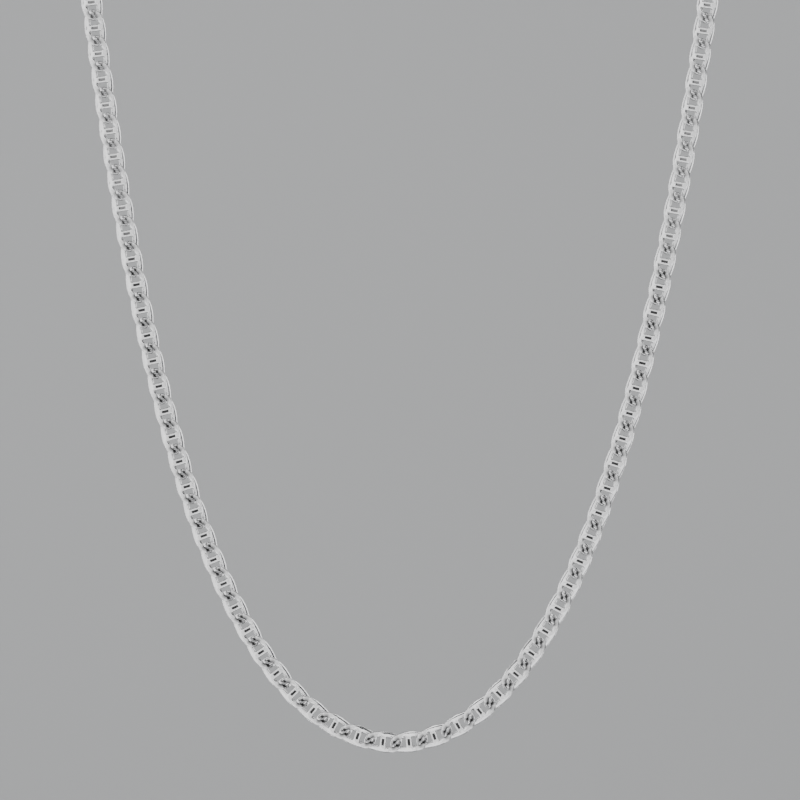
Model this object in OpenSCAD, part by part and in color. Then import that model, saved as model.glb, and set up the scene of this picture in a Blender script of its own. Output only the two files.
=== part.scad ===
// Mariner link necklace: a loop of flat, twisted, barred links that hangs in front, passes over
// both shoulders and is closed by a plain clasp at the nape. Millimetres, +Z up, front towards -Y.
// The origin is where the necklace sits on the nape.

/* [Loop] */
// Length of the whole necklace with its clasp, 24 inches
chain_len = 609.6; // [560:0.1:660]
// Radius of the hanging front at its lowest point
hang_r = 21.9; // [20:0.1:30]
// Radius of the bend over each shoulder
shoulder_r = 20; // [18:0.5:28]

/* [Links] */
// Width of a link across the chain, at its crossbar
link_w = 4; // [3.6:0.05:4.6]
// Step from one link to the next
link_pitch = 5; // [4.6:0.05:5.6]
// Width of a link's rail
rail_w = 1.2; // [1:0.05:1.35]
// Width of the crossbar
bar_w = 1.25; // [0.9:0.05:1.4]
// Width of the wire at a link's ends
end_w = 0.96; // [0.8:0.02:1.04]
// Thickness of the wire
wire_t = 0.94; // [0.8:0.02:1.02]
// Thickness of the chain between its two ground faces
flat_t = 1.8; // [1.5:0.05:2]
// How much a link's outline steps in on each side where two links overlap
step_in = 0.46; // [0.3:0.02:0.6]
// How far a link's corners lean along the chain, one way on each side
end_lean = 0.25; // [0:0.05:0.4]
// Clearance between the ends of two links that hook together
link_gap = 0.28; // [0.26:0.02:0.36]

/* [Clasp] */
// Length of the clasp
clasp_len = 15.8; // [13:0.1:18]
// Width of the clasp's bow
clasp_w = 5.4; // [5:0.1:7]
// Thickness of the clasp's hook
hook_t = 1.4; // [1:0.05:1.6]
// Thickness of the clasp's flat body
body_t = 2.2; // [1.8:0.1:2.6]
// Outer diameter of the two jump rings
ring_d = 5; // [4.6:0.1:5.6]
// Thickness of the jump rings' wire
ring_t = 0.9; // [0.8:0.05:1]
// Clearance where a ring hooks into a link or the clasp
ring_gap = 0.15; // [0.12:0.01:0.25]
// Radius of the hole in the clasp's eye
eye_hole_r = 1.15; // [1:0.05:1.4]

/* [Hidden] */
$fn = 64;

// The link, worked out from its sizes
rail_y = (link_w - rail_w) / 2;
end_x = (link_pitch + end_w + link_gap) / 2;
corner_x = end_x - end_w / 2;
corner_y = link_w / 2 - step_in - 0.4 * end_w;
corner_rise = 0.705 * (wire_t + link_gap);
bar_rise = 0.2 * (wire_t + link_gap);
end_turn = 0.9 * atan(end_lean / corner_y);

// Stations of the link's right half, from the upper rail beside the crossbar, round the
// right-hand end, to the lower rail. Columns: along the chain, across it, rise, width, roll,
// heading
right_stations = [
  [bar_w / 2, rail_y, -bar_rise, rail_w, 6, 0],
  [corner_x + end_lean, corner_y, -corner_rise, end_w, 50, 40],
  [end_x, 0, 0, end_w, 0, 90 + end_turn],
  [corner_x - end_lean, -corner_y, corner_rise, end_w, -50, 147],
  [bar_w / 2, -rail_y, bar_rise, rail_w, -6, 180],
];

// Six corners of the wire's section. Columns: outwards, upwards
wire_section = [
  [1, 0],
  [0.6, 1],
  [-0.6, 1],
  [-1, 0],
  [-0.6, -1],
  [0.6, -1],
];

// A station as its centre, outward axis, upward axis and width
function tilt(row) =
  let(out = [sin(row[5]), cos(row[5]), 0], up = [0, 0, 1])
  [
    [row[0], row[1], row[2]],
    out * cos(row[4]) - up * sin(row[4]),
    out * sin(row[4]) + up * cos(row[4]),
    row[3],
  ];

// The five stations of the right half, then the same turned half a turn about the upward axis
right_half = [for (row = right_stations) tilt(row)];
function half_turn(v) = [-v[0], -v[1], v[2]];
stations = concat(
  right_half,
  [for (s = right_half) [half_turn(s[0]), half_turn(s[1]), half_turn(s[2]), s[3]]]
);
count = len(stations);

// Both faces of the link are ground flat
function ground(v) = [v[0], v[1], max(-flat_t / 2, min(flat_t / 2, v[2]))];
link_points = [
  for (s = stations)
    for (c = wire_section)
      ground(s[0] + s[1] * c[0] * s[3] / 2 + s[2] * c[1] * wire_t / 2)
];

// Four-cornered faces of the wire, left open where the crossbar joins the two rails
function at(i, k) = (i % count) * 6 + (k % 6);
wire_faces = [
  for (i = [0:count - 1])
    for (k = [0:5])
      if (!((i == 4 || i == 9) && (k == 2 || k == 3)))
        [at(i, k), at(i + 1, k), at(i + 1, k + 1), at(i, k + 1)]
];
bar_top = [at(9, 2), at(0, 2), at(0, 3), at(0, 4), at(9, 4), at(9, 3)];
bar_foot = [at(5, 2), at(4, 2), at(4, 3), at(4, 4), at(5, 4), at(5, 3)];
bar_faces = [
  for (k = [0:5])
    let(n = (k + 1) % 6)
      [bar_top[k], bar_top[n], bar_foot[n], bar_foot[k]]
];
link_faces = [
  for (f = concat(wire_faces, bar_faces))
    for (t = [[f[0], f[1], f[2]], [f[0], f[2], f[3]]])
      t
];

// Where the rings and the clasp's wires cross the chain's line, from the last link's middle.
// The link's end falls back beside its middle, so a ring stands further in by that slope
ring_r = (ring_d - ring_t) / 2;
end_slope = (end_x - corner_x + end_lean) / corner_y;
near_wire = end_x - end_w / 2 - ring_gap - ring_t / 2 * (1 + end_slope);
ring_mid = near_wire + ring_r;
far_wire = near_wire + 2 * ring_r;
eye_start = far_wire - ring_t / 2 - ring_gap - ring_t;
pull_len = clasp_len - hook_t + ring_t;

// Whole links on each side, and half the length of the loop that they and the clasp make
tail_len = pull_len / 2 + eye_start;
links_side = round((chain_len / 2 - tail_len + link_pitch / 2) / link_pitch);
last_mid = (links_side - 0.5) * link_pitch;
half_len = last_mid + tail_len;

// The hanging front is a catenary, the shoulder a bend, the back an arc
function asinh(t) = ln(t + sqrt(t * t + 1));
function rise(s) = sqrt(hang_r * hang_r + s * s);
function bend_len(s) = PI / 2 * shoulder_r * rise(s) / s;
function back_x(s) = hang_r * asinh(s / hang_r) + hang_r / rise(s) * bend_len(s);
function back_r(s) = back_x(s) * rise(s) / s;
function back_len(s) = back_r(s) * (PI / 2 + atan(hang_r / s) * PI / 180);
function settle(n, s) = n == 0 ? s : settle(n - 1, half_len - bend_len(s) - back_len(s));
leg = settle(30, half_len / 2);
side_out = hang_r / rise(leg);
side_up = leg / rise(leg);
spread = asin(side_out);
over = bend_len(leg);
back_radius = back_r(leg);
leg_top = [hang_r * asinh(leg / hang_r), 0, rise(leg) - hang_r];
back_start = leg_top + [side_out * over, shoulder_r, shoulder_r];
nape_line = [0, back_start[1] + back_radius * (1 + side_out), back_start[2]];

// A point of the right half, the way the chain runs there, and its outward face
function front_frame(s) =
  [
    [hang_r * asinh(s / hang_r), 0, rise(s) - hang_r],
    [hang_r / rise(s), 0, s / rise(s)],
    [0, -1, 0],
  ];
function bend_frame(s) =
  let(b = 90 * s / over)
  [
    leg_top + [side_out * s, shoulder_r * (1 - cos(b)), shoulder_r * sin(b)],
    [side_out, side_up * sin(b), side_up * cos(b)],
    [0, -cos(b), sin(b)],
  ];
function back_frame(s) =
  let(h = spread - s / back_radius * 180 / PI)
  [
    back_start + back_radius * [cos(h) - cos(spread), sin(spread) - sin(h), 0],
    [sin(h), cos(h), 0],
    [0, 0, 1],
  ];
function half_frame(s) =
  s < leg ? front_frame(s) : s < leg + over ? bend_frame(s - leg) : back_frame(s - leg - over);

// The whole loop, counted from its lowest point: the left half mirrors the right half
function loop_frame(s) =
  let(f = half_frame(abs(s)), q = s < 0 ? -1 : 1)
  let(p = [q * f[0][0], f[0][1], f[0][2]], t = [f[1][0], q * f[1][1], q * f[1][2]])
  [p - sit, t, cross(f[2], t), f[2]];
function placed(f, v) = f[0] + f[1] * v[0] + f[2] * v[1] + f[3] * v[2];

// The necklace rests on the nape by the clasp's inner edge
clasp_y = half_frame(last_mid + far_wire)[0][1] - nape_line[1];
sit = nape_line + [0, clasp_y - clasp_w / 2, 0];

// All the links of one side, each clear of its neighbours
module link_row(side) {
  frames = [for (k = [0:links_side - 1]) loop_frame(side * (k + 0.5) * link_pitch)];
  size = len(link_points);
  polyhedron(
    points = [for (f = frames) for (v = link_points) placed(f, v)],
    faces = [for (k = [0:links_side - 1]) for (t = link_faces) [for (i = t) i + k * size]],
    convexity = 20
  );
}

module chain_left() {
  color([0.78, 0.78, 0.79]) link_row(-1);
}

module chain_right() {
  color([0.78, 0.78, 0.79]) link_row(1);
}

// A jump ring standing on edge across the chain
module jump_ring(side) {
  f = loop_frame(side * (last_mid + ring_mid));
  multmatrix([
    [f[1][0], f[3][0], -f[2][0], f[0][0]],
    [f[1][1], f[3][1], -f[2][1], f[0][1]],
    [f[1][2], f[3][2], -f[2][2], f[0][2]],
    [0, 0, 0, 1],
  ])
    rotate_extrude() translate([ring_r, 0]) circle(d = ring_t);
}

module clasp_ring() {
  color([0.76, 0.76, 0.77]) jump_ring(-1);
}

module end_ring() {
  color([0.76, 0.76, 0.77]) jump_ring(1);
}

// The clasp: an eye at its tail, a flat body, and a closed hook with a thumb lever
module clasp() {
  eye_r = eye_hole_r + ring_t / 2;
  bow_r = (clasp_w - hook_t) / 2;
  body_r = 0.42 * clasp_w;
  eye_x = ring_t / 2 + eye_r - pull_len / 2;
  hook_x = pull_len / 2 + hook_t / 2 - ring_t - bow_r;
  body_x = eye_x + eye_r + body_r - 0.25;
  lever_x = body_x + body_r;
  color([0.74, 0.74, 0.75])
    translate([0, nape_line[1] + clasp_y - sit[1], 0]) {
      translate([eye_x, 0, 0])
        rotate_extrude() translate([eye_r, 0]) circle(d = ring_t);
      intersection() {
        translate([body_x, 0, 0])
          sphere(r = body_r);
        translate([body_x - clasp_w, -clasp_w, -body_t / 2])
          cube([2 * clasp_w, 2 * clasp_w, body_t]);
      }
      translate([hook_x, 0, 0])
        rotate([0, 0, -90])
          rotate_extrude(angle = 180) translate([bow_r, 0]) circle(d = hook_t);
      for (q = [-1, 1])
        translate([body_x, q * bow_r, 0])
          rotate([0, 90, 0])
            cylinder(h = hook_x - body_x, d = hook_t);
      translate([lever_x, bow_r, 0])
        rotate([-90, 0, 20])
          cylinder(h = 1.3, d = 0.9);
      translate([lever_x, bow_r, 0])
        rotate([-90, 0, 20])
          translate([0, 0, 1.4])
            sphere(d = 1.3);
    }
}

chain_left();
chain_right();
clasp();
clasp_ring();
end_ring();
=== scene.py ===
import math

import bmesh
import bpy
from mathutils import Matrix, Vector
from mathutils.bvhtree import BVHTree


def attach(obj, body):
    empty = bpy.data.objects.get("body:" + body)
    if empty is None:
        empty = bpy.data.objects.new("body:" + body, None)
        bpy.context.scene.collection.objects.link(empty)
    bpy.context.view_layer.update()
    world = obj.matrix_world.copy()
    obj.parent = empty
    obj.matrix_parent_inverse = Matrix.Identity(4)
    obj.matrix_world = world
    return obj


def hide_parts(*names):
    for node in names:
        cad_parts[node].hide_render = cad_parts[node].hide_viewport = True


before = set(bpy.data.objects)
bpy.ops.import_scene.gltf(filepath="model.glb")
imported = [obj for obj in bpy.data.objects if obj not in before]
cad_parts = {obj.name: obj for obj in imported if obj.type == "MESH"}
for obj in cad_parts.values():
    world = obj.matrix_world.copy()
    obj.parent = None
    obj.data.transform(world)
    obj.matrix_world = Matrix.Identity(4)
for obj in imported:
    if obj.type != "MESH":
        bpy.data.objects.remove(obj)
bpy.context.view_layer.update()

bl_info = {
    "name": "Mariner Link Necklace",
    "version": (1, 0, 0),
    "blender": (4, 5, 0),
    "location": "3D View > Sidebar > Necklace",
    "description": "Makes the silver links, rings and clasp of a mariner link necklace",
    "category": "Object",
}

MM = 0.001
SIDES = {"left": -1, "right": 1}
FULL_TURN = 2 * math.pi


# Sizes and colours that a user would change


def length(name, description, millimetres):
    """A size in millimetres as a property in metres."""
    return bpy.props.FloatProperty(
        name=name,
        description=description,
        default=millimetres * MM,
        min=0.0,
        precision=5,
        subtype="DISTANCE",
        unit="LENGTH",
    )


def colour(name, description, value):
    return bpy.props.FloatVectorProperty(
        name=name, description=description, default=value, size=3, min=0.0, max=1.0, subtype="COLOR"
    )


def factor(name, description, value, most=1.0):
    return bpy.props.FloatProperty(
        name=name, description=description, default=value, min=0.0, max=most, subtype="FACTOR"
    )


class LoopSizes(bpy.types.PropertyGroup):
    """The loop that the chain hangs in."""

    chain_length: length("Chain Length", "Length of the whole necklace with its clasp", 609.6)
    hang_radius: length("Hang Radius", "Radius of the hanging front at its lowest point", 21.9)
    shoulder_radius: length("Shoulder Radius", "Radius of the bend over each shoulder", 20)


class LinkSizes(bpy.types.PropertyGroup):
    """One link, and the step from one to the next."""

    width: length("Width", "Width of a link across the chain, at its crossbar", 4)
    pitch: length("Pitch", "Step from one link to the next", 5)
    rail_width: length("Rail Width", "Width of a link's rail", 1.2)
    bar_width: length("Crossbar Width", "Width of the crossbar along the chain", 1.25)
    end_width: length("End Width", "Width of the wire at a link's ends", 0.96)
    wire: length("Wire Thickness", "Thickness of the wire", 0.94)
    flat: length("Flat Thickness", "Thickness between the two ground faces", 1.8)
    step_in: length("Step In", "How much the outline steps in where links overlap", 0.46)
    gap: length("Gap", "Clearance between the ends of two links", 0.28)
    lean: length("Lean", "How far a link's corners lean along the chain", 0.25)
    sway: bpy.props.FloatProperty(
        name="Sway",
        description="Most that a link hangs turned about the chain, either way",
        default=math.radians(0.9),
        subtype="ANGLE",
        unit="ROTATION",
    )
    groove_width: length("Groove Width", "Width of the groove on the crossbar", 0.56)
    groove_length: length("Groove Length", "Length of the groove on the crossbar", 1.3)
    groove_depth: length("Groove Depth", "Depth of the groove on the crossbar", 0.24)


class ClaspSizes(bpy.types.PropertyGroup):
    """The clasp and the two jump rings."""

    length: length("Clasp Length", "Length of the clasp", 15.8)
    width: length("Clasp Width", "Width of the clasp's bow", 5.4)
    hook: length("Hook Thickness", "Thickness of the clasp's hook", 1.4)
    body: length("Body Thickness", "Thickness of the clasp's flat body", 2.2)
    eye_hole: length("Eye Hole", "Radius of the hole in the clasp's eye", 1.15)
    ring_diameter: length("Ring Diameter", "Outer diameter of the jump rings", 5)
    ring_wire: length("Ring Wire", "Thickness of the jump rings' wire", 0.9)
    ring_gap: length("Ring Gap", "Clearance where a ring hooks into a link or the clasp", 0.15)


class SilverFinish(bpy.types.PropertyGroup):
    """Colours and polish of the metal, and the colour of its painted shade."""

    silver: colour("Silver", "Colour of the polished silver", (0.93, 0.93, 0.935))
    # The colour of the painted shade in the grooves and hollows
    painted_shade_colour: colour("Painted Shade", "Colour of the silver in the grooves", (0.02, 0.02, 0.021))
    polish: factor("Polish Roughness", "Roughness of the polished wire", 0.13)
    ground: factor("Ground Roughness", "Roughness of the ground faces", 0.36)


class StageLook(bpy.types.PropertyGroup):
    """Floor, light and camera."""

    floor: colour("Floor", "Colour of the floor and backdrop", (0.45, 0.455, 0.46))
    light: factor("Light", "Strength of the soft boxes", 1.0, 4.0)
    camera_distance: length("Camera Distance", "From the camera to the hanging front", 800)
    frame_width: length("Frame Width", "Width that the camera takes in at the hanging front", 153.8)
    camera_roll: bpy.props.FloatProperty(
        name="Camera Roll",
        description="Small turn of the camera about its own line of sight",
        default=math.radians(0.27),
        subtype="ANGLE",
        unit="ROTATION",
    )
    floor_depth: length("Floor Depth", "From the nape down to the floor", 1100)


class NecklaceSettings(bpy.types.PropertyGroup):
    """Everything that the operators read."""

    loop: bpy.props.PointerProperty(name="Loop", type=LoopSizes)
    link: bpy.props.PointerProperty(name="Links", type=LinkSizes)
    clasp: bpy.props.PointerProperty(name="Clasp", type=ClaspSizes)
    finish: bpy.props.PointerProperty(name="Finish", type=SilverFinish)
    stage: bpy.props.PointerProperty(name="Stage", type=StageLook)


# Nodes, for materials and for geometry


class Socket:
    """A node's output. Arithmetic on it adds Math nodes."""

    def __init__(self, nodes, output):
        self.nodes, self.output = nodes, output

    def of(self, name):
        """Another output of the same node."""
        return Socket(self.nodes, self.output.node.outputs[name])

    def maths(self, operation, *values):
        return self.nodes.add("ShaderNodeMath", {"operation": operation}, dict(enumerate(values)))

    def __add__(self, other):
        return self.maths("ADD", self, other)

    __radd__ = __add__

    def __sub__(self, other):
        return self.maths("SUBTRACT", self, other)

    def __rsub__(self, other):
        return self.maths("SUBTRACT", other, self)

    def __mul__(self, other):
        return self.maths("MULTIPLY", self, other)

    __rmul__ = __mul__


class Nodes:
    """A node tree that is being built."""

    def __init__(self, tree):
        self.tree = tree
        tree.nodes.clear()

    def add(self, kind, settings=None, sockets=None, output=0):
        """A new node with its settings, then its sockets' values or links; gives one output."""
        node = self.tree.nodes.new(kind)
        for name, value in (settings or {}).items():
            if name == "stops":
                for element, (place, level) in zip(node.color_ramp.elements, value):
                    element.position, element.color = place, (level, level, level, 1)
            else:
                setattr(node, name, value)
        for name, value in (sockets or {}).items():
            if isinstance(value, Socket):
                self.tree.links.new(value.output, node.inputs[name])
            else:
                node.inputs[name].default_value = value
        return Socket(self, node.outputs[output]) if node.outputs else None

    def blend(self, share, low, high):
        """A colour between two colours."""
        return self.add(
            "ShaderNodeMix", {"data_type": "RGBA"}, {0: share, 6: low, 7: high}, output=2
        )

    def attribute(self, name, output="Fac"):
        return self.add("ShaderNodeAttribute", {"attribute_name": name}).of(output)

    def noise(self, vector, scale, detail, **more):
        sockets = {"Vector": vector, "Scale": scale, "Detail": detail, **more}
        return self.add("ShaderNodeTexNoise", None, sockets)

    def surface(self, sockets):
        shader = self.add("ShaderNodeBsdfPrincipled", None, sockets)
        self.add("ShaderNodeOutputMaterial", None, {"Surface": shader})


def rgba(value):
    return (*value, 1.0)


def new_material(name):
    material = bpy.data.materials.new(name)
    material.use_nodes = True
    return material, Nodes(material.node_tree)


# How fine the polishing streaks are along and across a link, the wear and the haze
BRUSH_SCALE = (1800, 16000, 16000)
WEAR_SCALE = 2600.0
CLOUD_SCALE = 420.0
# Depth of the surface's relief, in metres
RELIEF = 0.000012
# Heights between which the painted shade in the hollows fades, and the share that is left at the
# top
SHADE_FULL_BELOW = -74 * MM
SHADE_FADED_ABOVE = -60 * MM
SHADE_SHARE_ABOVE = 0.8
# The pale flecks in the backdrop's paper: how fine they are and their colour
PAPER_SCALE = 3.0
PAPER_FLECK = (0.55, 0.555, 0.56)


def painted_shade_by_height(nodes):
    """How much of their painted shade the hollows keep at each height; it fades higher up the
    chain.
    """
    place = nodes.add("ShaderNodeTexCoord").of("Object")
    height = nodes.add("ShaderNodeSeparateXYZ", None, {0: place}).of("Z")
    return nodes.add(
        "ShaderNodeMapRange",
        {"interpolation_type": "SMOOTHSTEP"},
        {0: height, 1: SHADE_FULL_BELOW, 2: SHADE_FADED_ABOVE, 3: 1.0, 4: SHADE_SHARE_ABOVE},
    )


def silver(name, finish, place_attribute=None, painted_shade_attribute=None, ground_attribute=None):
    """Polished silver with fine wear; ground faces are brushed, and hollows get painted shade."""
    material, nodes = new_material(name)
    if place_attribute:
        place = nodes.attribute(place_attribute, "Vector")
        tone = nodes.attribute("tone")
        shift = nodes.add("ShaderNodeCombineXYZ", None, {0: tone * 0.7, 1: tone * 0.3, 2: tone})
        place = nodes.add("ShaderNodeVectorMath", {"operation": "ADD"}, {0: place, 1: shift})
    else:
        place = nodes.add("ShaderNodeTexCoord").of("Object")
        tone = 0.5
    groove = ground = 0.0
    # Painted shade in the grooves and hollows, fuller lower down the chain
    if painted_shade_attribute:
        groove = nodes.attribute(painted_shade_attribute) * painted_shade_by_height(nodes)
    if ground_attribute:
        ground = nodes.attribute(ground_attribute)
    long = nodes.add(
        "ShaderNodeVectorMath", {"operation": "MULTIPLY"}, {0: place, 1: BRUSH_SCALE}
    )
    brushed = nodes.noise(long, 1.0, 3.0)
    worn = nodes.noise(place, WEAR_SCALE, 4.0, Roughness=0.6)
    cloudy = nodes.noise(place, CLOUD_SCALE, 2.0)
    wear = nodes.add("ShaderNodeValToRGB", {"stops": [(0.35, 0.0), (0.75, 1.0)]}, {0: worn})
    streaks = nodes.add("ShaderNodeValToRGB", {"stops": [(0.42, 0.0), (0.62, 1.0)]}, {0: brushed})
    stain = wear * 0.1 + cloudy * 0.12 + tone * 0.05 + ground * streaks * 0.2
    # Wear, haze, tone and streaks, with the painted shade wherever that is darker
    stain_and_painted_shade = nodes.add(
        "ShaderNodeMath", {"operation": "MAXIMUM", "use_clamp": True}, {0: stain, 1: groove * 0.97}
    )
    colour_of = nodes.blend(stain_and_painted_shade, rgba(finish.silver), rgba(finish.painted_shade_colour))
    roughness = (
        finish.polish
        + wear * 0.06
        + groove * 0.3
        + ground * (streaks * 0.12 + (finish.ground - finish.polish - 0.1))
    )
    height = worn * 0.35 + ground * brushed * 0.9 + cloudy * 0.8
    bump = nodes.add(
        "ShaderNodeBump", None, {"Height": height, "Strength": 0.55, "Distance": RELIEF}
    )
    nodes.surface(
        {"Base Color": colour_of, "Roughness": roughness, "Metallic": 1.0, "Normal": bump}
    )
    return material


def painted(name, value):
    """Matt pale paper for the backdrop."""
    material, nodes = new_material(name)
    place = nodes.add("ShaderNodeTexCoord").of("Object")
    grain = nodes.noise(place, PAPER_SCALE, 2.0)
    shade = nodes.blend(grain * 0.12, rgba(value), rgba(PAPER_FLECK))
    nodes.surface({"Base Color": shade, "Roughness": 0.85})
    return material


# The chain's centreline, as in the CAD source


# Rounds in which the leg's length settles, so that the loop closes
SETTLING_ROUNDS = 30


class Route:
    """Half the loop, from its lowest point up a leg, over the shoulder and round to the clasp."""

    def __init__(self, settings):
        loop, link, clasp = settings.loop, settings.link, settings.clasp
        self.hang = loop.hang_radius
        self.shoulder = loop.shoulder_radius
        self.ring_r = (clasp.ring_diameter - clasp.ring_wire) / 2
        corner_x, corner_y = corner_place(link)
        end_slope = (link.end_width / 2 + link.lean) / corner_y
        near = corner_x - clasp.ring_gap - clasp.ring_wire / 2 * (1 + end_slope)
        far = near + 2 * self.ring_r
        eye_start = far - clasp.ring_wire / 2 - clasp.ring_gap - clasp.ring_wire
        self.ring_mid = near + self.ring_r
        self.pull = clasp.length - clasp.hook + clasp.ring_wire
        tail = self.pull / 2 + eye_start
        self.links = round((loop.chain_length / 2 - tail + link.pitch / 2) / link.pitch)
        self.last = (self.links - 0.5) * link.pitch
        self.half = self.last + tail
        self.leg = self.half / 2
        for _ in range(SETTLING_ROUNDS):
            self.leg = self.half - self.bend_length(self.leg) - self.back_length(self.leg)
        rise = self.rise(self.leg)
        self.side_out, self.side_up = self.hang / rise, self.leg / rise
        self.spread = math.asin(self.side_out)
        self.over = self.bend_length(self.leg)
        self.back_radius = self.back_r(self.leg)
        self.leg_top = Vector((self.hang * math.asinh(self.leg / self.hang), 0, rise - self.hang))
        self.back_start = self.leg_top + Vector(
            (self.side_out * self.over, self.shoulder, self.shoulder)
        )
        self.nape = Vector(
            (0, self.back_start.y + self.back_radius * (1 + self.side_out), self.back_start.z)
        )
        self.clasp_y = self.half_place(self.last + far)[0].y - self.nape.y
        self.sit = self.nape + Vector((0, self.clasp_y - clasp.width / 2, 0))

    def rise(self, s):
        return math.hypot(self.hang, s)

    def bend_length(self, s):
        return math.pi / 2 * self.shoulder * self.rise(s) / s

    def back_r(self, s):
        leg_x = self.hang * math.asinh(s / self.hang)
        return (leg_x + self.hang / self.rise(s) * self.bend_length(s)) * self.rise(s) / s

    def back_length(self, s):
        return self.back_r(s) * (math.pi / 2 + math.atan(self.hang / s))

    def half_place(self, s):
        """Point, way along and outward face of the right half."""
        if s < self.leg:
            rise = self.rise(s)
            return (
                Vector((self.hang * math.asinh(s / self.hang), 0, rise - self.hang)),
                Vector((self.hang / rise, 0, s / rise)),
                Vector((0, -1, 0)),
            )
        if s < self.leg + self.over:
            b = math.pi / 2 * (s - self.leg) / self.over
            sin, cos = math.sin(b), math.cos(b)
            out = self.side_out * (s - self.leg)
            return (
                self.leg_top + Vector((out, self.shoulder * (1 - cos), self.shoulder * sin)),
                Vector((self.side_out, self.side_up * sin, self.side_up * cos)),
                Vector((0, -cos, sin)),
            )
        h = self.spread - (s - self.leg - self.over) / self.back_radius
        step = Vector((math.cos(h) - math.cos(self.spread), math.sin(self.spread) - math.sin(h), 0))
        return (
            self.back_start + self.back_radius * step,
            Vector((math.sin(h), math.cos(h), 0)),
            Vector((0, 0, 1)),
        )

    def place(self, s):
        """Point, way along and outward face anywhere on the loop; s is below 0 on the left."""
        point, along, outward = self.half_place(abs(s))
        side = -1 if s < 0 else 1
        point = Vector((side * point.x, point.y, point.z)) - self.sit
        along = Vector((along.x, side * along.y, side * along.z))
        return point, along, outward


# How far in from the stepped outline a corner's middle lies, as a share of the wire's width
CORNER_MIDDLE = 0.4


def corner_place(link):
    """Where a link's corner would be without its lean, along and across."""
    inside = link.step_in + CORNER_MIDDLE * link.end_width
    return (link.pitch + link.gap) / 2, link.width / 2 - inside


# One link


# How far a corner and the rail beside the crossbar rise, as a share of the wire and the gap, and
# how far the end's wire turns, as a share of its corners' lean
CORNER_RISE = 0.705
BAR_RISE = 0.2
END_TURN = 0.9
# The round wire fills its corners more than a faceted one, so they stand in by this much
CORNER_INSET = 0.07 * MM
# Rings of points on each part of the wire's half, and on the rail behind the crossbar
LINK_STEPS = (6, 7, 7, 6)
BAR_STEPS = 6
# Points down each side of the wire, the outer two close to the ground faces' edges
SIDE_SHARES = (0.07, 0.36, 0.64, 0.93)
SIDE_POINTS = len(SIDE_SHARES)
SECTION = 2 * (2 + SIDE_POINTS)
# Which of those points the crossbar's hole takes in, from one face to the other
INNER = range(2, SIDE_POINTS + 2)
# How square the wire's section is, and half the angle between its top points where it isn't ground
SQUARENESS = 2.5
NARROW = 0.16
# Directions tried round a section to find where it is ground, and the most of them either way
ROUND_TRIES = 720
CUT_TRIES = 300
# Painted shade on the wire's inner side, point by point round the wire
INNER_DARK = {2: 0.1, 3: 0.4, 4: 0.4, 5: 0.1}
# Painted shade on a link's end ramps but for their outer rims, point by point round the wire
RAMP_DARK = {0: 0.75, 1: 1.0, 2: 1.0, 3: 0.9, 4: 0.5}
# A ramp's outer side across the link, its start along it as a share of the step, its soft edge
RAMP_SIDE = 0.92 * MM
RAMP_START = 0.3
RAMP_EDGE = 0.15 * MM
# Painted shade goes where the link and its neighbours wall a point in: rays tried from each point,
# how far they start off the surface and look, the least that they face it, between which shares
# of blocked rays the painted shade sets in, and how dark the most sheltered points are
SHELTER_RAYS = 96
SHELTER_LIFT = 0.02 * MM
SHELTER_REACH = 1.6 * MM
SHELTER_FACING = 0.1
SHELTER_START, SHELTER_SPAN = 0.4, 0.4
SHELTER_DARK = 0.1
# The crossbar's thickness as a share of the wire's, the points across each of its faces that lie
# in the groove, the painted shade down its sides, and the width of the groove's walls at its two
# ends
BAR_THICKNESS = 0.94
GROOVED = (2, 3, 4)
BAR_SIDE_DARK = [0.7, 1.0, 1.0, 0.7]
GROOVE_SLOPE = 0.12 * MM
# Points across the crossbar, as shares of the groove's half width and of the bar's, and down its
# side, as shares of its half width and half thickness
GROOVE_INSIDE, GROOVE_RIM, BAR_RIM = 0.72, 1.08, 0.84
BAR_SIDE = ((0.97, 0.62), (1.0, 0.22))
# Rings of points about the groove's end, counted from it, and one near the bar's middle
END_RINGS = (0.12 * MM, 0.03 * MM, -0.09 * MM)
MIDDLE_RING = 0.18 * MM
# How much the bar's faces fall towards its sides and again at their rims
CROWN = 0.1


def smooth(t):
    """From 0 to 1 with a level start and end; t is held between 0 and 1."""
    t = max(0.0, min(1.0, t))
    return t * t * (3 - 2 * t)


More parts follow.
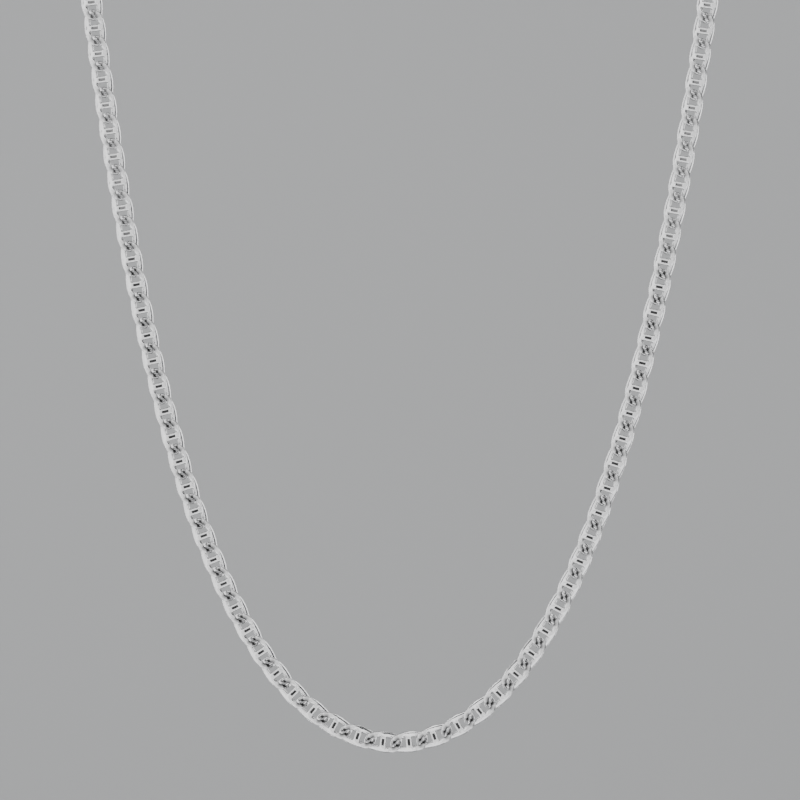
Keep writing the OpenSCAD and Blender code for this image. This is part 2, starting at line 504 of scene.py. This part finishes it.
def link_wire(link):
    """The closed wire's sections as (middle, outward, upward, width)."""
    rail_y = (link.width - link.rail_width) / 2
    corner_x, corner_y = corner_place(link)
    end_x = corner_x + link.end_width / 2
    corner_rise = CORNER_RISE * (link.wire + link.gap)
    bar_rise = BAR_RISE * (link.wire + link.gap)
    bar_x = link.bar_width / 2
    lean = link.lean
    end_heading = 90 + END_TURN * math.degrees(math.atan2(lean, corner_y))
    corner_y -= CORNER_INSET
    # Along, across, rise, width, roll, heading, rise per length, pull on the path before and after
    right = [
        (bar_x, rail_y, -bar_rise, link.rail_width, 6, 6, -0.3, 1.0, 1.0),
        (corner_x + lean, corner_y, -corner_rise, link.end_width, 50, 30, 0.0, 0.3, 0.8),
        (end_x, 0, 0, link.end_width, 0, end_heading, 0.62, 0.8, 0.8),
        (corner_x - lean, -corner_y, corner_rise, link.end_width, -50, 150, 0.0, 0.8, 0.3),
        (bar_x, -rail_y, bar_rise, link.rail_width, -6, 174, -0.3, 1.0, 1.0),
    ]
    left = [(-x, -y, z, w, r, h + 180, *rest) for x, y, z, w, r, h, *rest in right]
    stations = right + left
    steps = (LINK_STEPS + (BAR_STEPS,)) * 2
    sections = []
    for i, count in enumerate(steps):
        x0, y0, z0, w0, r0, h0, rise0, _, pull0 = stations[i]
        x1, y1, z1, w1, r1, h1, rise1, pull1, _ = stations[(i + 1) % len(stations)]
        start, end = Vector((x0, y0, z0)), Vector((x1, y1, z1))
        chord = math.hypot(x1 - x0, y1 - y0)
        way0 = Vector((math.cos(math.radians(h0)), -math.sin(math.radians(h0)), rise0))
        way1 = Vector((math.cos(math.radians(h1)), -math.sin(math.radians(h1)), rise1))
        way0, way1 = way0 * chord * pull0, way1 * chord * pull1
        for k in range(count):
            t = k / count
            middle = (
                start * (2 * t**3 - 3 * t**2 + 1)
                + way0 * (t**3 - 2 * t**2 + t)
                + end * (3 * t**2 - 2 * t**3)
                + way1 * (t**3 - t**2)
            )
            slope = (
                start * (6 * t**2 - 6 * t)
                + way0 * (3 * t**2 - 4 * t + 1)
                + end * (6 * t - 6 * t**2)
                + way1 * (3 * t**2 - 2 * t)
            )
            plan = Vector((slope.x, slope.y, 0)).normalized()
            out = Vector((-plan.y, plan.x, 0))
            roll = math.radians(r0 + (r1 - r0) * smooth(t))
            up = Vector((0, 0, 1))
            outward = out * math.cos(roll) - up * math.sin(roll)
            upward = out * math.sin(roll) + up * math.cos(roll)
            sections.append((middle, outward, upward, w0 + (w1 - w0) * smooth(t)))
    return sections


def squircle(angle, squareness=SQUARENESS):
    """A point of a rounded square of half width 1."""
    c, s = math.cos(angle), math.sin(angle)
    size = (abs(c) ** squareness + abs(s) ** squareness) ** (-1 / squareness)
    return c * size, s * size


def wire_section(middle, outward, upward, width, link):
    """Points round the wire, outer top first and then over, and which faces are ground."""
    half = link.flat / 2

    def point(angle):
        a, b = squircle(angle)
        return middle + outward * (a * width / 2) + upward * (b * link.wire / 2)

    angles = [FULL_TURN * i / ROUND_TRIES for i in range(ROUND_TRIES)]
    heights = [point(a).z for a in angles]
    edges, ground = [], []
    for sign in (1, -1):
        best = max(range(ROUND_TRIES), key=lambda i: sign * heights[i])
        first = last = best
        while sign * heights[first % ROUND_TRIES] > half and best - first < CUT_TRIES:
            first -= 1
        while sign * heights[last % ROUND_TRIES] > half and last - best < CUT_TRIES:
            last += 1
        cut = last - first > 2
        if cut:
            edges.append((FULL_TURN * first / ROUND_TRIES, FULL_TURN * last / ROUND_TRIES))
        else:
            edges.append((angles[best] - NARROW, angles[best] + NARROW))
        ground.append(cut)
    (top_outer, top_inner), (foot_inner, foot_outer) = edges
    while foot_inner < top_inner:
        foot_inner, foot_outer = foot_inner + FULL_TURN, foot_outer + FULL_TURN
    around = [top_outer, top_inner]
    around += [top_inner + (foot_inner - top_inner) * share for share in SIDE_SHARES]
    around += [foot_inner, foot_outer]
    end = top_outer + FULL_TURN
    around += [foot_outer + (end - foot_outer) * share for share in SIDE_SHARES]
    points = [point(a) for a in around]
    for p in points:
        p.z = max(-half, min(half, p.z))
    return points, ground


def make_link(settings):
    """The mesh of one link: a closed flattened wire with its grooved crossbar, in one skin."""
    link = settings.link
    sections = link_wire(link)
    count = len(sections)
    mesh = bmesh.new()
    ground = mesh.verts.layers.float.new("ground")
    # Painted shade, point by point: on the wire's inner side, on its ends' ramps, in the crossbar's
    # groove and down its sides, and where the links wall a point in
    recess = mesh.verts.layers.float.new("recess")
    rings = []
    for section in sections:
        points, (cut_top, cut_foot) = wire_section(*section, link)
        ring = [mesh.verts.new(p) for p in points]
        for k, vert in enumerate(ring):
            # Counted from the face that stands proud: the front one here, or else the back one
            proud = k if section[0].z > 0 else (SIDE_POINTS + 3 - k) % SECTION
            # Painted shade on the wire's inner side and on the ramps of the link's ends
            end = ramp(vert.co, link)
            vert[recess] = max(
                (1 - end) * INNER_DARK.get(k, 0.0), end * RAMP_DARK.get(proud, 0.0)
            )
        for vert in ring[:2] if cut_top else []:
            vert[ground] = 1.0
        for vert in ring[SIDE_POINTS + 2 : SIDE_POINTS + 4] if cut_foot else []:
            vert[ground] = 1.0
        rings.append(ring)
    half = count // 2
    bar_foot = range(half - BAR_STEPS, half)
    bar_top = range(count - BAR_STEPS, count)
    for i in range(count):
        j = (i + 1) % count
        for k in range(SECTION):
            if (i in bar_foot or i in bar_top) and 1 <= k <= SIDE_POINTS + 1:
                continue
            n = (k + 1) % SECTION
            mesh.faces.new((rings[i][k], rings[j][k], rings[j][n], rings[i][n]))
    # The crossbar's rings run from the hole in one rail to the hole in the other
    upper = bar_hole(rings, count - BAR_STEPS)
    lower = bar_hole(rings, half - BAR_STEPS)
    # The lower rail runs the other way, so its hole is counted back from its other corner
    lower = lower[: BAR_STEPS + 1][::-1] + lower[BAR_STEPS + 1 :][::-1]
    bar = bar_rings(link, upper, lower, mesh, recess)
    join_rings(mesh, bar)
    bmesh.ops.recalc_face_normals(mesh, faces=mesh.faces)
    mesh.normal_update()
    # Painted shade where the link and its neighbours wall a point in
    for vert, share in zip(mesh.verts, sheltered(mesh, link)):
        level = SHELTER_DARK * smooth((share - SHELTER_START) / SHELTER_SPAN)
        vert[recess] = max(vert[recess], level)
    return as_data(mesh, "link")


def join_rings(mesh, rings):
    """Faces from each ring of points to the next."""
    for a, b in zip(rings, rings[1:]):
        for k in range(len(a)):
            n = (k + 1) % len(a)
            mesh.faces.new((a[k], a[n], b[n], b[k]))


def bar_hole(rings, first):
    """The points round the hole that a rail leaves for the crossbar."""
    run = [rings[(first + i) % len(rings)] for i in range(BAR_STEPS + 1)]
    loop = [ring[1] for ring in run]
    loop += [run[-1][k] for k in INNER]
    loop += [ring[SIDE_POINTS + 2] for ring in reversed(run)]
    loop += [run[0][k] for k in reversed(INNER)]
    return loop


def ramp(point, link):
    """How far a point lies on the ramp of a link's end, between rail and middle, from 0 to 1."""
    along, across = abs(point.x), abs(point.y)
    share = 1.0
    for depth in (across, RAMP_SIDE - across, along - RAMP_START * link.pitch):
        share *= smooth(depth / RAMP_EDGE)
    return share


def sheltered(mesh, link):
    """How far each point is walled in by its own link and its two neighbours, from 0 to 1."""
    tree = BVHTree.FromBMesh(mesh)
    golden = math.pi * (3 - math.sqrt(5))
    rays = []
    for i in range(SHELTER_RAYS):
        z = 1 - (2 * i + 1) / SHELTER_RAYS
        flat = math.sqrt(1 - z * z)
        rays.append(Vector((flat * math.cos(golden * i), flat * math.sin(golden * i), z)))
    steps = [Vector((step * link.pitch, 0, 0)) for step in (0, -1, 1)]
    for vert in mesh.verts:
        sky = walled = 0.0
        start = vert.co + vert.normal * SHELTER_LIFT
        for ray in rays:
            facing = ray.dot(vert.normal)
            if facing < SHELTER_FACING:
                continue
            sky += facing
            if any(tree.ray_cast(start - step, ray, SHELTER_REACH)[0] for step in steps):
                walled += facing
        yield walled / sky


def groove_share(y, link):
    """How deep the groove is at y, from 0 to 1."""
    return smooth((link.groove_length / 2 + GROOVE_SLOPE / 2 - abs(y)) / GROOVE_SLOPE)


def bar_rings(link, upper, lower, mesh, recess):
    """The crossbar's rings of points, from the upper rail's hole to the lower one."""
    half_x, half_z = link.bar_width / 2, link.wire * BAR_THICKNESS / 2
    groove = link.groove_width / 2
    xs = [GROOVE_INSIDE * groove, GROOVE_RIM * groove, BAR_RIM * half_x]
    xs = [-x for x in reversed(xs)] + [0] + xs
    edge = link.groove_length / 2
    heights = [edge + step for step in END_RINGS] + [MIDDLE_RING]
    heights += [-h for h in reversed(heights)]
    rings = [upper]
    for y in heights:
        share = groove_share(y, link)
        top = []
        for i, x in enumerate(xs):
            rim = CROWN if i in (0, len(xs) - 1) else 0
            crown = half_z * (1 - CROWN * (x / half_x) ** 2 - rim)
            sunk = share * link.groove_depth if i in GROOVED else 0
            top.append((x, crown - sunk))
        side = [(half_x * across, half_z * down) for across, down in BAR_SIDE]
        side += [(x, -z) for x, z in reversed(side)]
        outline = top + side + [(x, -z) for x, z in reversed(top)]
        outline += [(-x, -z) for x, z in side]
        # Painted shade in the groove and down the bar's sides
        dark = [share if i in GROOVED else 0.0 for i in range(len(xs))] + BAR_SIDE_DARK
        ring = []
        for (x, z), level in zip(outline, dark * 2):
            vert = mesh.verts.new((x, y, z))
            vert[recess] = level
            ring.append(vert)
        rings.append(ring)
    rings.append(lower)
    return rings


# Links along the path


# The sway's share in each of a link's turns; the two sides' seeds lie one below and above this
SWAY_SHARES = (1, 0.3, 0.3)
SEED = 7
# The path's step, how far it runs on past the last link's middle, and its start, just off 0 so
# that the first point has a side
PATH_STEP = 0.25 * MM
PATH_BEYOND = 2 * MM
PATH_START = 1e-9


def link_tree():
    """Geometry nodes that set links along a path, face them outwards and give each its own tone."""
    tree = bpy.data.node_groups.new("links_along_path", "GeometryNodeTree")
    for name, kind in (
        ("Path", "Geometry"),
        ("Link", "Object"),
        ("Count", "Int"),
        ("Pitch", "Float"),
        ("Sway", "Float"),
        ("Seed", "Int"),
        ("Finish", "Material"),
    ):
        tree.interface.new_socket(name=name, in_out="INPUT", socket_type=f"NodeSocket{kind}")
    tree.interface.new_socket(name="Links", in_out="OUTPUT", socket_type="NodeSocketGeometry")
    nodes = Nodes(tree)
    given = nodes.add("NodeGroupInput")
    index = nodes.add("GeometryNodeInputIndex")
    curve = nodes.add("GeometryNodeMeshToCurve", None, {"Mesh": given.of("Path")})
    reach = (index + 0.5) * given.of("Pitch")

    def sampled(attribute):
        field = nodes.add(
            "GeometryNodeInputNamedAttribute", {"data_type": "FLOAT_VECTOR"}, {"Name": attribute}
        )
        return nodes.add(
            "GeometryNodeSampleCurve",
            {"data_type": "FLOAT_VECTOR", "mode": "LENGTH"},
            {"Curves": curve, "Value": field, "Length": reach},
        )

    along, outward = sampled("along"), sampled("outward")
    points = nodes.add(
        "GeometryNodePoints", None, {"Count": given.of("Count"), "Position": along.of("Position")}
    )
    turn = nodes.add(
        "FunctionNodeAxesToRotation",
        {"primary_axis": "X", "secondary_axis": "Z"},
        {"Primary Axis": along, "Secondary Axis": outward},
    )
    sway = nodes.add(
        "FunctionNodeRandomValue",
        {"data_type": "FLOAT_VECTOR"},
        {0: [-s for s in SWAY_SHARES], 1: SWAY_SHARES, "ID": index, "Seed": given.of("Seed")},
    )
    sway = nodes.add(
        "ShaderNodeVectorMath", {"operation": "SCALE"}, {0: sway, "Scale": given.of("Sway")}
    )
    turn = nodes.add(
        "FunctionNodeRotateRotation",
        {"rotation_space": "LOCAL"},
        {"Rotation": turn, "Rotate By": nodes.add("FunctionNodeEulerToRotation", None, {0: sway})},
    )
    shape = nodes.add("GeometryNodeObjectInfo", None, {"Object": given.of("Link")}).of("Geometry")
    shape = nodes.add(
        "GeometryNodeStoreNamedAttribute",
        {"data_type": "FLOAT_VECTOR", "domain": "POINT"},
        {"Geometry": shape, "Name": "place", "Value": nodes.add("GeometryNodeInputPosition")},
    )
    row = nodes.add(
        "GeometryNodeInstanceOnPoints",
        None,
        {"Points": points, "Instance": shape, "Rotation": turn},
    )
    tone = nodes.add(
        "FunctionNodeRandomValue",
        {"data_type": "FLOAT"},
        {"ID": index, "Seed": given.of("Seed")},
        output=1,
    )
    row = nodes.add(
        "GeometryNodeStoreNamedAttribute",
        {"data_type": "FLOAT", "domain": "INSTANCE"},
        {"Geometry": row, "Name": "tone", "Value": tone},
    )
    row = nodes.add("GeometryNodeRealizeInstances", None, {"Geometry": row})
    row = nodes.add(
        "GeometryNodeSetMaterial", None, {"Geometry": row, "Material": given.of("Finish")}
    )
    nodes.add("NodeGroupOutput", None, {"Links": row})
    return tree


def path_mesh(route, side):
    """Half the chain's path as a line of points that know the way along and outward."""
    count = math.ceil((route.last + PATH_BEYOND) / PATH_STEP)
    places = [route.place(side * max(i * PATH_STEP, PATH_START)) for i in range(count + 1)]
    data = bpy.data.meshes.new("path")
    data.from_pydata([p for p, _, _ in places], [(i, i + 1) for i in range(count)], [])
    for name, column in (("along", 1), ("outward", 2)):
        layer = data.attributes.new(name, "FLOAT_VECTOR", "POINT")
        layer.data.foreach_set("vector", [c for place in places for c in place[column]])
    return data


def made_plain(piece):
    """The piece's evaluated shape as its own plain mesh, and its modifiers removed."""
    depsgraph = bpy.context.evaluated_depsgraph_get()
    data = bpy.data.meshes.new_from_object(
        piece.evaluated_get(depsgraph), preserve_all_data_layers=True, depsgraph=depsgraph
    )
    piece.modifiers.clear()
    piece.data = data
    data.name = piece.name
    return piece


def as_data(mesh, name):
    """What was built, as mesh data with its faces smooth and pointing outwards."""
    bmesh.ops.recalc_face_normals(mesh, faces=mesh.faces)
    for face in mesh.faces:
        face.smooth = True
    data = bpy.data.meshes.new(name)
    mesh.to_mesh(data)
    mesh.free()
    return data


def new_object(name, data):
    piece = bpy.data.objects.new(name, data)
    bpy.context.scene.collection.objects.link(piece)
    return piece


def sweep(mesh, places, radius, closed, sides=20):
    """A tube round a path of (point, direction, up) with a radius for each place."""
    angles = [FULL_TURN * k / sides for k in range(sides)]
    rings = []
    for i, (point, way, up) in enumerate(places):
        across = way.cross(up).normalized()
        size = radius(i) if callable(radius) else radius
        ring = [point + across * (size * math.cos(a)) + up * (size * math.sin(a)) for a in angles]
        rings.append([mesh.verts.new(p) for p in ring])
    join_rings(mesh, rings + rings[:1] if closed else rings)
    if not closed:
        mesh.faces.new(rings[0])
        mesh.faces.new(rings[-1])


def circle_places(centre, radius, count, start=0.0, turn=FULL_TURN):
    """Places of a level circle, or of part of one."""
    last = count if turn == FULL_TURN else count - 1
    for i in range(count):
        a = start + turn * i / last
        out = Vector((math.cos(a), math.sin(a), 0))
        way = Vector((-math.sin(a), math.cos(a), 0))
        yield centre + out * radius, way, Vector((0, 0, 1))


# Points round a jump ring, where its joint stands, and the wire's thickness at the joint
RING_STEPS = 96
RING_JOINT = 0.6
RING_SEAM = {0: 0.93, 1: 0.985, RING_STEPS - 1: 0.985}


# Operators


class NECKLACE_OT_links(bpy.types.Operator):
    """Set the silver links along both halves of the loop"""

    bl_idname = "necklace.links"
    bl_label = "Links"

    def execute(self, context):
        settings = context.scene.necklace
        route = Route(settings)
        finish = silver("silver_links", settings.finish, "place", "recess", "ground")
        form = new_object("link_form", make_link(settings))
        tree = link_tree()
        sockets = {s.name: s.identifier for s in tree.interface.items_tree if s.in_out == "INPUT"}
        for name, side in SIDES.items():
            piece = new_object(f"links_{name}", path_mesh(route, side))
            modifier = piece.modifiers.new("Links", "NODES")
            modifier.node_group = tree
            for socket, value in (
                ("Link", form),
                ("Count", route.links),
                ("Pitch", settings.link.pitch),
                ("Sway", settings.link.sway),
                ("Seed", SEED + side),
                ("Finish", finish),
            ):
                modifier[sockets[socket]] = value
            made_plain(piece)
            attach(piece, "root")
            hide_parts(f"chain_{name}")
        bpy.data.objects.remove(form)
        return {"FINISHED"}


class NECKLACE_OT_rings(bpy.types.Operator):
    """Bend the two jump rings at the ends of the chain"""

    bl_idname = "necklace.rings"
    bl_label = "Jump Rings"

    def execute(self, context):
        settings = context.scene.necklace
        route = Route(settings)
        clasp = settings.clasp
        finish = silver("silver_rings", settings.finish)
        for name, node, side in (("ring_clasp", "clasp_ring", -1), ("ring_end", "end_ring", 1)):
            point, along, outward = route.place(side * (route.last + route.ring_mid))
            mesh = bmesh.new()
            places = list(circle_places(Vector(), route.ring_r, RING_STEPS, start=RING_JOINT))
            sweep(mesh, places, lambda i: clasp.ring_wire / 2 * RING_SEAM.get(i, 1.0), closed=True)
            basis = Matrix((along, outward, along.cross(outward))).transposed().to_4x4()
            bmesh.ops.transform(mesh, matrix=Matrix.Translation(point) @ basis, verts=mesh.verts)
            piece = new_object(name, as_data(mesh, name))
            piece.data.materials.append(finish)
            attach(piece, "root")
            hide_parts(node)
        return {"FINISHED"}


class NECKLACE_OT_clasp(bpy.types.Operator):
    """Make the clasp: its eye, body, closed hook, gate line and thumb lever"""

    bl_idname = "necklace.clasp"
    bl_label = "Clasp"

    def execute(self, context):
        settings = context.scene.necklace
        route = Route(settings)
        piece = new_object("lobster_clasp", clasp_mesh(settings, route))
        piece.data.materials.append(silver("silver_clasp", settings.finish))
        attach(piece, "root")
        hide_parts("clasp")
        return {"FINISHED"}


# The clasp, in millimetres: the body's radius as a share of the clasp's width, how far it laps
# over the eye, how steeply its faces flatten, and the fineness of body, eye and bow
BODY_SHARE = 0.42
BODY_LAP = 0.25
BODY_SWELL = 1.05
BODY_STEPS = (64, 40)
EYE_STEPS = 72
ARM_STEPS, NOSE_STEPS, BOW_SIDES = 12, 49, 28
# The bow's ends are rounded off against the body, point by point from each end
BOW_END = {0: 0.5, 1: 0.88}
# The thumb lever, a stalk with a round tip sunk on to it, and the fineness of the whole skin
LEVER_LEAN = math.radians(20)
LEVER_LENGTH, LEVER_STEPS = 1.5, 8
LEVER_FOOT_R, LEVER_TAPER, LEVER_TIP_R = 0.6, 0.15, 0.65
TIP_SUNK, TIP_STEPS = 0.1, (32, 20)
SKIN = 0.1
# How far the gate's joint stands before the nose, the fine lines' depth, the sides of their
# cutter, the two radii of the line round the pivot pin and the pin's place on the body
GATE_BACK = 0.4
LINE = 0.12
LINE_STEPS = 48
PIN_INNER, PIN_OUTER = 0.4, 0.42
PIN_X, PIN_Y = 0.2, 0.35


def ball(mesh, steps, radius):
    """A new ball's points, with steps round it and from pole to pole."""
    around, down = steps
    made = bmesh.ops.create_uvsphere(mesh, u_segments=around, v_segments=down, radius=radius)
    return made["verts"]


def clasp_mesh(settings, route):
    """The clasp as one skin, built in millimetres and then put in its place."""
    clasp = settings.clasp
    ring_wire, width, hook = clasp.ring_wire / MM, clasp.width / MM, clasp.hook / MM
    pull = route.pull / MM
    eye_r = clasp.eye_hole / MM + ring_wire / 2
    bow_r = (width - hook) / 2
    body_r = BODY_SHARE * width
    eye_x = ring_wire / 2 + eye_r - pull / 2
    hook_x = pull / 2 + hook / 2 - ring_wire - bow_r
    body_x = eye_x + eye_r + body_r - BODY_LAP
    lever_x = body_x + body_r
    up = Vector((0, 0, 1))
    mesh = bmesh.new()
    eye = list(circle_places(Vector((eye_x, 0, 0)), eye_r, EYE_STEPS))
    sweep(mesh, eye, ring_wire / 2, closed=True)
    # The bow: out along one arm, round the nose and back along the other
    bow, arm = [], hook_x - body_x
    for i in range(ARM_STEPS):
        point = Vector((body_x + arm * i / ARM_STEPS, -bow_r, 0))
        bow.append((point, Vector((1, 0, 0)), up))
    nose = Vector((hook_x, 0, 0))
    bow += circle_places(nose, bow_r, NOSE_STEPS, start=-math.pi / 2, turn=math.pi)
    for i in range(1, ARM_STEPS + 1):
        point = Vector((hook_x - arm * i / ARM_STEPS, bow_r, 0))
        bow.append((point, Vector((-1, 0, 0)), up))

    def bow_size(i):
        return hook / 2 * BOW_END.get(min(i, len(bow) - 1 - i), 1.0)

    sweep(mesh, bow, bow_size, closed=False, sides=BOW_SIDES)
    limit = clasp.body / MM / 2
    for vert in ball(mesh, BODY_STEPS, body_r):
        vert.co.z = limit * math.tanh(vert.co.z / limit * BODY_SWELL)
        vert.co.x += body_x
    # The thumb lever
    way = Vector((-math.sin(LEVER_LEAN), math.cos(LEVER_LEAN), 0))
    foot = Vector((lever_x, bow_r, 0))
    shares = [i / LEVER_STEPS for i in range(LEVER_STEPS + 1)]
    stalk = [(foot + way * (LEVER_LENGTH * share), way, up) for share in shares]
    sweep(mesh, stalk, lambda i: LEVER_FOOT_R - LEVER_TAPER * smooth(shares[i]), closed=False)
    tip = ball(mesh, TIP_STEPS, LEVER_TIP_R)
    bmesh.ops.translate(mesh, vec=foot + way * (LEVER_LENGTH - TIP_SUNK), verts=tip)
    form = new_object("clasp_form", as_data(mesh, "clasp_form"))
    remesh = form.modifiers.new("Skin", "REMESH")
    remesh.mode = "VOXEL"
    remesh.voxel_size = SKIN
    soften = form.modifiers.new("Soften", "SMOOTH")
    soften.factor = 0.5
    soften.iterations = 3
    # The gate's joint near the nose and the pivot pin through the body
    cutter = new_object("gate_cut", gate_cutter(body_x, bow_r, body_r, hook_x, hook, limit))
    cut = form.modifiers.new("Gate", "BOOLEAN")
    cut.operation = "DIFFERENCE"
    cut.object = cutter
    cut.solver = "EXACT"
    made_plain(form)
    data = form.data
    bpy.data.objects.remove(form)
    bpy.data.objects.remove(cutter)
    place = Vector((0, route.nape.y + route.clasp_y - route.sit.y, 0))
    data.transform(Matrix.Translation(place) @ Matrix.Scale(MM, 4))
    data.shade_smooth()
    data.name = "lobster_clasp"
    return data


def gate_cutter(body_x, bow_r, body_r, hook_x, hook, limit):
    """Thin rings that leave a fine line round the gate arm and round the pivot pin."""
    mesh = bmesh.new()

    def band(centre, axis, inner, outer, thick):
        """A ring of square section between two radii."""
        side = axis.orthogonal().normalized()
        other = axis.cross(side)
        loops = []
        for i in range(LINE_STEPS):
            a = FULL_TURN * i / LINE_STEPS
            out = side * math.cos(a) + other * math.sin(a)
            corners = ((inner, -1), (outer, -1), (outer, 1), (inner, 1))
            loops.append(
                [mesh.verts.new(centre + out * r + axis * (q * thick / 2)) for r, q in corners]
            )
        join_rings(mesh, loops + loops[:1])

    gate = Vector((hook_x - GATE_BACK, bow_r, 0))
    band(gate, Vector((1, 0, 0)), hook / 2 - LINE, hook / 2 + GATE_BACK, LINE)
    for q in (-1, 1):
        pin = Vector((body_x + PIN_X * body_r, PIN_Y * body_r, q * limit))
        band(pin, Vector((0, 0, 1)), PIN_OUTER, PIN_INNER, 2 * LINE)
    return as_data(mesh, "gate_cut")


# The backdrop, in metres: where the floor begins, the wall's place and top, the bend between
# them and half the width
FLOOR_FRONT = -2.5
WALL_Y, WALL_TOP = 1.8, 2.2
BEND_R, BEND_STEPS = 0.35, 24
HALF_WIDTH = 3.5
# Colour and strength of the faint light that comes from all round
STUDIO_AIR = (0.86, 0.88, 0.9)
AIR_STRENGTH = 0.12
# The camera's film in millimetres and the nearest and furthest that it sees in metres
FILM_WIDTH = 36.0
CLIP = (0.01, 20.0)
# The place on the hanging front that the camera is aimed at
VIEW_X, VIEW_Z = 0.46 * MM, -97.3 * MM
# The soft boxes: name, two corners in metres, the way the light goes and its strength. Those in
# front reach furthest to the left and the low one joins them, so the silver is bright there;
# upwards and to the right they end sooner and leave a dark line on each rail. The two behind
# light the links' outer rims
SOFT_BOXES = (
    ("front", (-0.8, -1.5, -1.0), (0.8, -1.5, 0.7), (0, 1, 0), 1.15),
    ("front_left", (-3.2, -1.5, -1.0), (-0.8, -1.5, 1.75), (0, 1, 0), 1.7),
    ("front_right", (0.8, -1.5, -1.0), (1.55, -1.5, 1.75), (0, 1, 0), 1.8),
    ("front_high", (-0.8, -1.5, 0.7), (0.8, -1.5, 1.75), (0, 1, 0), 1.8),
    ("left", (-1.5, -0.75, -1.09), (-1.5, 0.75, 2.2), (1, 0, 0), 1.6),
    ("low", (-1.5, -1.5, -1.09), (0.9, -0.15, -1.09), (0, 0, 1), 1.3),
    ("right", (1.3, -0.14, -1.0), (1.3, 0.6, 1.0), (-1, 0, 0), 2.2),
    ("top", (-0.8, -0.25, 1.4), (0.8, 0.55, 1.4), (0, 0, -1), 2.4),
    ("back_left", (-1.6, 0.9, -1.09), (-0.4, 0.9, 0.9), (0, -1, 0), 1.7),
    ("back_right", (0.4, 0.9, -0.9), (1.6, 0.9, 1.3), (0, -1, 0), 1.7),
)


def soft_box(name, low, high, faces, glow):
    """A flat square-set light between two corners, as bright as glow wherever it is seen from."""
    span = high - low
    light = bpy.data.lights.new(name, "AREA")
    light.shape = "RECTANGLE"
    lamp = new_object(name, light)
    lamp.location = (low + high) / 2
    if faces[2]:
        light.size, light.size_y = span.x, span.y
        lamp.rotation_euler = (math.pi if faces[2] > 0 else 0, 0, 0)
    elif faces[1]:
        light.size, light.size_y = span.x, span.z
        lamp.rotation_euler = (math.pi / 2 * faces[1], 0, 0)
    else:
        light.size, light.size_y = span.z, span.y
        lamp.rotation_euler = (0, -math.pi / 2 * faces[0], 0)
    light.energy = glow * math.pi * light.size * light.size_y
    lamp.visible_camera = False


class NECKLACE_OT_stage(bpy.types.Operator):
    """Set up the pale backdrop, the soft boxes and the camera"""

    bl_idname = "necklace.stage"
    bl_label = "Stage"

    def execute(self, context):
        settings = context.scene.necklace
        stage = settings.stage
        route = Route(settings)
        # One sheet: level floor, a bend, and an upright wall behind
        floor_z = -stage.floor_depth
        profile = [(FLOOR_FRONT, floor_z)]
        for i in range(BEND_STEPS + 1):
            a = math.pi / 2 * i / BEND_STEPS
            out, up = BEND_R * math.sin(a), BEND_R * (1 - math.cos(a))
            profile.append((WALL_Y - BEND_R + out, floor_z + up))
        profile.append((WALL_Y, WALL_TOP))
        data = bpy.data.meshes.new("backdrop")
        verts = [(x, y, z) for y, z in profile for x in (-HALF_WIDTH, HALF_WIDTH)]
        faces = [(2 * i, 2 * i + 1, 2 * i + 3, 2 * i + 2) for i in range(len(profile) - 1)]
        data.from_pydata(verts, [], faces)
        data.shade_smooth()
        backdrop = new_object("backdrop", data)
        backdrop.data.materials.append(painted("pale_paper", stage.floor))
        world = bpy.data.worlds.new("studio")
        world.use_nodes = True
        nodes = Nodes(world.node_tree)
        background = nodes.add(
            "ShaderNodeBackground", None, {"Color": rgba(STUDIO_AIR), "Strength": AIR_STRENGTH}
        )
        nodes.add("ShaderNodeOutputWorld", None, {"Surface": background})
        context.scene.world = world
        for name, low, high, faces, glow in SOFT_BOXES:
            low, high = Vector(low), Vector(high)
            soft_box(f"soft_box_{name}", low, high, Vector(faces), glow * stage.light)
        camera = bpy.data.cameras.new("camera")
        camera.sensor_width = FILM_WIDTH
        camera.lens = FILM_WIDTH * stage.camera_distance / stage.frame_width
        camera.clip_start, camera.clip_end = CLIP
        eye = new_object("camera", camera)
        eye.location = (VIEW_X, -route.sit.y - stage.camera_distance, VIEW_Z)
        eye.rotation_euler = (math.pi / 2, -stage.camera_roll, 0)
        context.scene.camera = eye
        return {"FINISHED"}


class NECKLACE_PT_parts(bpy.types.Panel):
    """The necklace's sizes and the buttons that make its parts"""

    bl_idname = "NECKLACE_PT_parts"
    bl_label = "Necklace"
    bl_space_type = "VIEW_3D"
    bl_region_type = "UI"
    bl_category = "Necklace"

    def draw(self, context):
        settings = context.scene.necklace
        for name in ("loop", "link", "clasp", "finish", "stage"):
            group = getattr(settings, name)
            box = self.layout.box()
            box.label(text=settings.bl_rna.properties[name].name)
            for prop in group.bl_rna.properties:
                if prop.identifier not in ("rna_type", "name"):
                    box.prop(group, prop.identifier)
        for operator in OPERATORS:
            self.layout.operator(operator.bl_idname)


OPERATORS = (NECKLACE_OT_stage, NECKLACE_OT_links, NECKLACE_OT_rings, NECKLACE_OT_clasp)
CLASSES = (
    LoopSizes,
    LinkSizes,
    ClaspSizes,
    SilverFinish,
    StageLook,
    NecklaceSettings,
    *OPERATORS,
    NECKLACE_PT_parts,
)


def register():
    for cls in CLASSES:
        bpy.utils.register_class(cls)
    bpy.types.Scene.necklace = bpy.props.PointerProperty(type=NecklaceSettings)


def unregister():
    del bpy.types.Scene.necklace
    for cls in reversed(CLASSES):
        bpy.utils.unregister_class(cls)


def main():
    register()
    bpy.ops.necklace.stage()
    bpy.ops.necklace.links()
    bpy.ops.necklace.rings()
    bpy.ops.necklace.clasp()
    bpy.context.view_layer.update()


if __name__ == "__main__":
    main()
